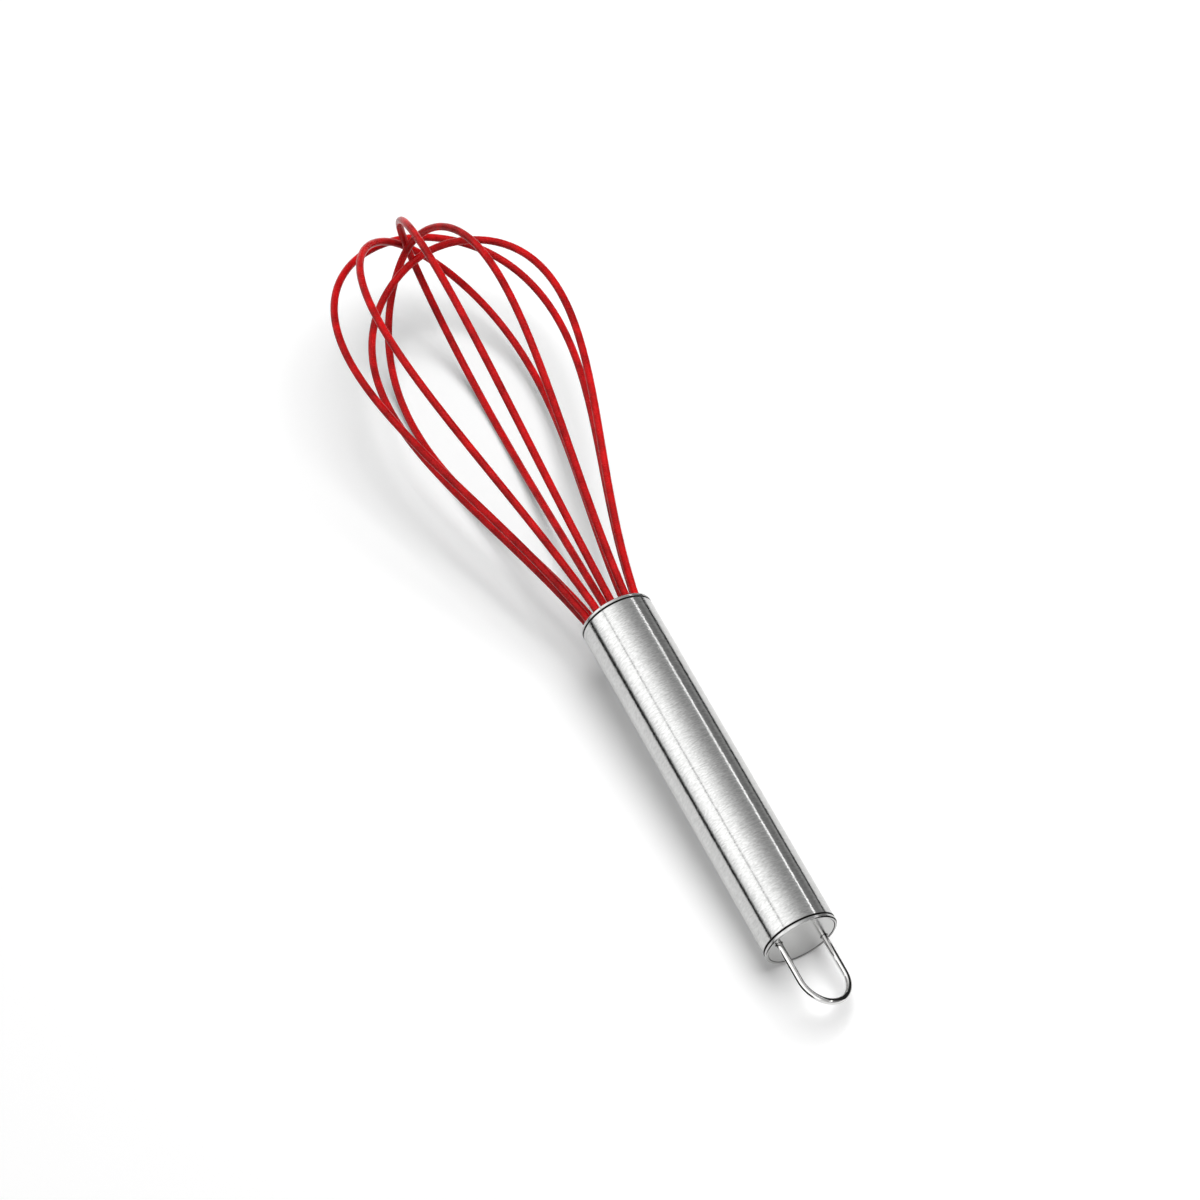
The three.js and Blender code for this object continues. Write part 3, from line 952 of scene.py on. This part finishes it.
def lay_table():
    """A matt white table, lifted a little towards white where it is seen."""
    half = TABLE_SIZE / 2
    mesh = bpy.data.meshes.new("table")
    corners = [(-half, -half, 0), (half, -half, 0), (half, half, 0), (-half, half, 0)]
    mesh.from_pydata(corners, [], [(0, 1, 2, 3)])
    table = bpy.data.objects.new("table", mesh)
    bpy.context.scene.collection.objects.link(table)
    material = bpy.data.materials.new("white_table")
    material.use_nodes = True
    tree = material.node_tree
    tree.nodes.clear()
    inputs = {"Color": (TABLE_COLOUR, TABLE_COLOUR, TABLE_COLOUR, 1)}
    matt = add_node(tree, "ShaderNodeBsdfDiffuse", inputs).outputs[0]
    lift = maths(tree, "MULTIPLY", background_rays(tree), TABLE_LIFT)
    glow = add_node(tree, "ShaderNodeEmission", {"Strength": lift}).outputs[0]
    both = add_node(tree, "ShaderNodeAddShader", {0: matt, 1: glow}).outputs[0]
    add_node(tree, "ShaderNodeOutputMaterial", {"Surface": both})
    mesh.materials.append(material)


def only_mirrored(thing):
    """Lets a stage piece show in reflections alone."""
    thing.visible_camera = False
    thing.visible_diffuse = False
    thing.visible_transmission = False
    thing.visible_shadow = False


def glowing(name, level):
    """A cloth that glows evenly, with its tree and its light."""
    material = bpy.data.materials.new(name)
    material.use_nodes = True
    tree = material.node_tree
    tree.nodes.clear()
    glow = add_node(tree, "ShaderNodeEmission", {"Strength": level})
    add_node(tree, "ShaderNodeOutputMaterial", {"Surface": glow.outputs[0]})
    return material, tree, glow


def pitch_tent():
    """A half tunnel of banded cloth along the whisk."""
    verts, faces = [], []
    for i in range(TENT_STEPS + 1):
        angle = math.pi * i / TENT_STEPS - math.pi / 2
        y = TENT_RADIUS * math.sin(angle)
        z = TENT_RADIUS * math.cos(angle)
        verts += [(-TENT_LENGTH / 2, y, z), (TENT_LENGTH / 2, y, z)]
        if i:
            faces.append((2 * i - 2, 2 * i - 1, 2 * i + 1, 2 * i))
    mesh = bpy.data.meshes.new("light_tent")
    mesh.from_pydata(verts, [], faces)
    tent = bpy.data.objects.new("light_tent", mesh)
    bpy.context.scene.collection.objects.link(tent)
    material, tree, glow = glowing("tent_cloth", TENT_PEAK)
    where = add_node(tree, "ShaderNodeTexCoord").outputs["Object"]
    split = add_node(tree, "ShaderNodeSeparateXYZ", {"Vector": where}).outputs
    turn = maths(tree, "ARCTAN2", maths(tree, "MULTIPLY", split[1], -1.0), split[2])
    share = maths(tree, "MULTIPLY_ADD", turn, 1 / math.pi, 0.5)
    ramp = add_node(tree, "ShaderNodeValToRGB", {"Fac": share})
    stops = ramp.color_ramp.elements
    while len(stops) < len(TENT_BANDS):
        stops.new(1.0)
    for stop, (degrees, level) in zip(stops, TENT_BANDS):
        stop.position = degrees / 180 + 0.5
        stop.color = (*[level / TENT_PEAK] * 3, 1)
    tree.links.new(ramp.outputs[0], glow.inputs["Color"])
    mesh.materials.append(material)
    only_mirrored(tent)


def lay_flags():
    """Dark cards that only polished edges mirror: two lie on the table, and two stand beside the eye."""
    dark = glowing("flag_card", FLAG_LEVEL)[0]
    foot = (WHISK @ Vector((end_face, 0, 0))).x
    tip = foot - HANG_LEG_LENGTH - leg_radius - EYE_CARD_GAP
    reach = leg_radius + EYE_CARD_GAP
    end = TENT_LENGTH / 2
    corners = {
        "flag_left": ((-end, FLAG_NEAR, FLAG_HEIGHT), (end, TENT_RADIUS, FLAG_HEIGHT)),
        "flag_right": ((-end, -TENT_RADIUS, FLAG_HEIGHT), (end, -FLAG_NEAR, FLAG_HEIGHT)),
        "eye_card_left": ((tip, reach, EYE_CARD_LOW), (foot, reach, EYE_CARD_TOP_LEFT)),
        "eye_card_right": ((tip, -reach, EYE_CARD_LOW), (foot, -reach, EYE_CARD_TOP_RIGHT)),
    }
    for name, (low, high) in corners.items():
        (x0, y0, z0), (x1, y1, z1) = low, high
        mesh = bpy.data.meshes.new(name)
        card = [(x0, y0, z0), (x1, y0, z0), (x1, y1, z1), (x0, y1, z1)]
        mesh.from_pydata(card, [], [(0, 1, 2, 3)])
        mesh.materials.append(dark)
        flag = bpy.data.objects.new(name, mesh)
        bpy.context.scene.collection.objects.link(flag)
        only_mirrored(flag)


def keep_table_neutral():
    """The sleeves bounce no light, so that the table round them stays free of a red cast."""
    for thing in bpy.data.objects:
        if thing.name.startswith("silicone_sleeve"):
            thing.visible_diffuse = False


def light_world():
    """White where it is seen, and a faint fill where it lights."""
    world = bpy.data.worlds.new("studio")
    bpy.context.scene.world = world
    world.use_nodes = True
    tree = world.node_tree
    tree.nodes.clear()
    inputs = {"Factor": background_rays(tree), NUMBER_A: WORLD_FILL, NUMBER_B: 1.0}
    strength = add_node(tree, "ShaderNodeMix", inputs, data_type="FLOAT").outputs[0]
    sky = add_node(tree, "ShaderNodeBackground", {"Strength": strength}).outputs[0]
    add_node(tree, "ShaderNodeOutputWorld", {"Surface": sky})


def add_lamp(name, towards, distance, size, power):
    """An area lamp in a direction from the handle's mouth, facing it."""
    lamp = bpy.data.lights.new(name, "AREA")
    lamp.shape = "DISK"
    lamp.size = size
    lamp.energy = power
    holder = bpy.data.objects.new(name, lamp)
    bpy.context.scene.collection.objects.link(holder)
    holder.location = MOUTH + Vector(towards).normalized() * distance
    holder.rotation_euler = Vector(towards).to_track_quat("Z", "Y").to_euler()
    holder.visible_glossy = False
    return holder


def add_camera():
    """The camera, placed from where the handle's mouth lies in its view."""
    heading = math.radians(CAMERA_HEADING)
    tilt = math.radians(CAMERA_ELEVATION)
    level = math.cos(tilt)
    ahead = Vector((math.cos(heading) * level, math.sin(heading) * level, -math.sin(tilt)))
    right = ahead.cross(Vector((0, 0, 1))).normalized()
    down = ahead.cross(right)
    data = bpy.data.cameras.new("camera")
    data.lens = LENS
    data.sensor_width = SENSOR
    data.clip_end = 2 * TABLE_SIZE
    camera = bpy.data.objects.new("camera", data)
    bpy.context.scene.collection.objects.link(camera)
    camera.location = MOUTH - ahead * CAMERA_DISTANCE - right * MOUTH_RIGHT - down * MOUTH_BELOW
    camera.rotation_euler = Matrix((right, -down, -ahead)).transposed().to_euler()
    bpy.context.scene.camera = camera


def build_stage():
    lay_table()
    pitch_tent()
    lay_flags()
    light_world()
    keep_table_neutral()
    add_lamp("overhead_softbox", LAMP_TOWARDS, LAMP_DISTANCE, LAMP_SIZE, LAMP_POWER)
    add_camera()
    bpy.context.scene.view_settings.view_transform = "Standard"


build_whisk()
finish_inner_nodes()
build_stage()
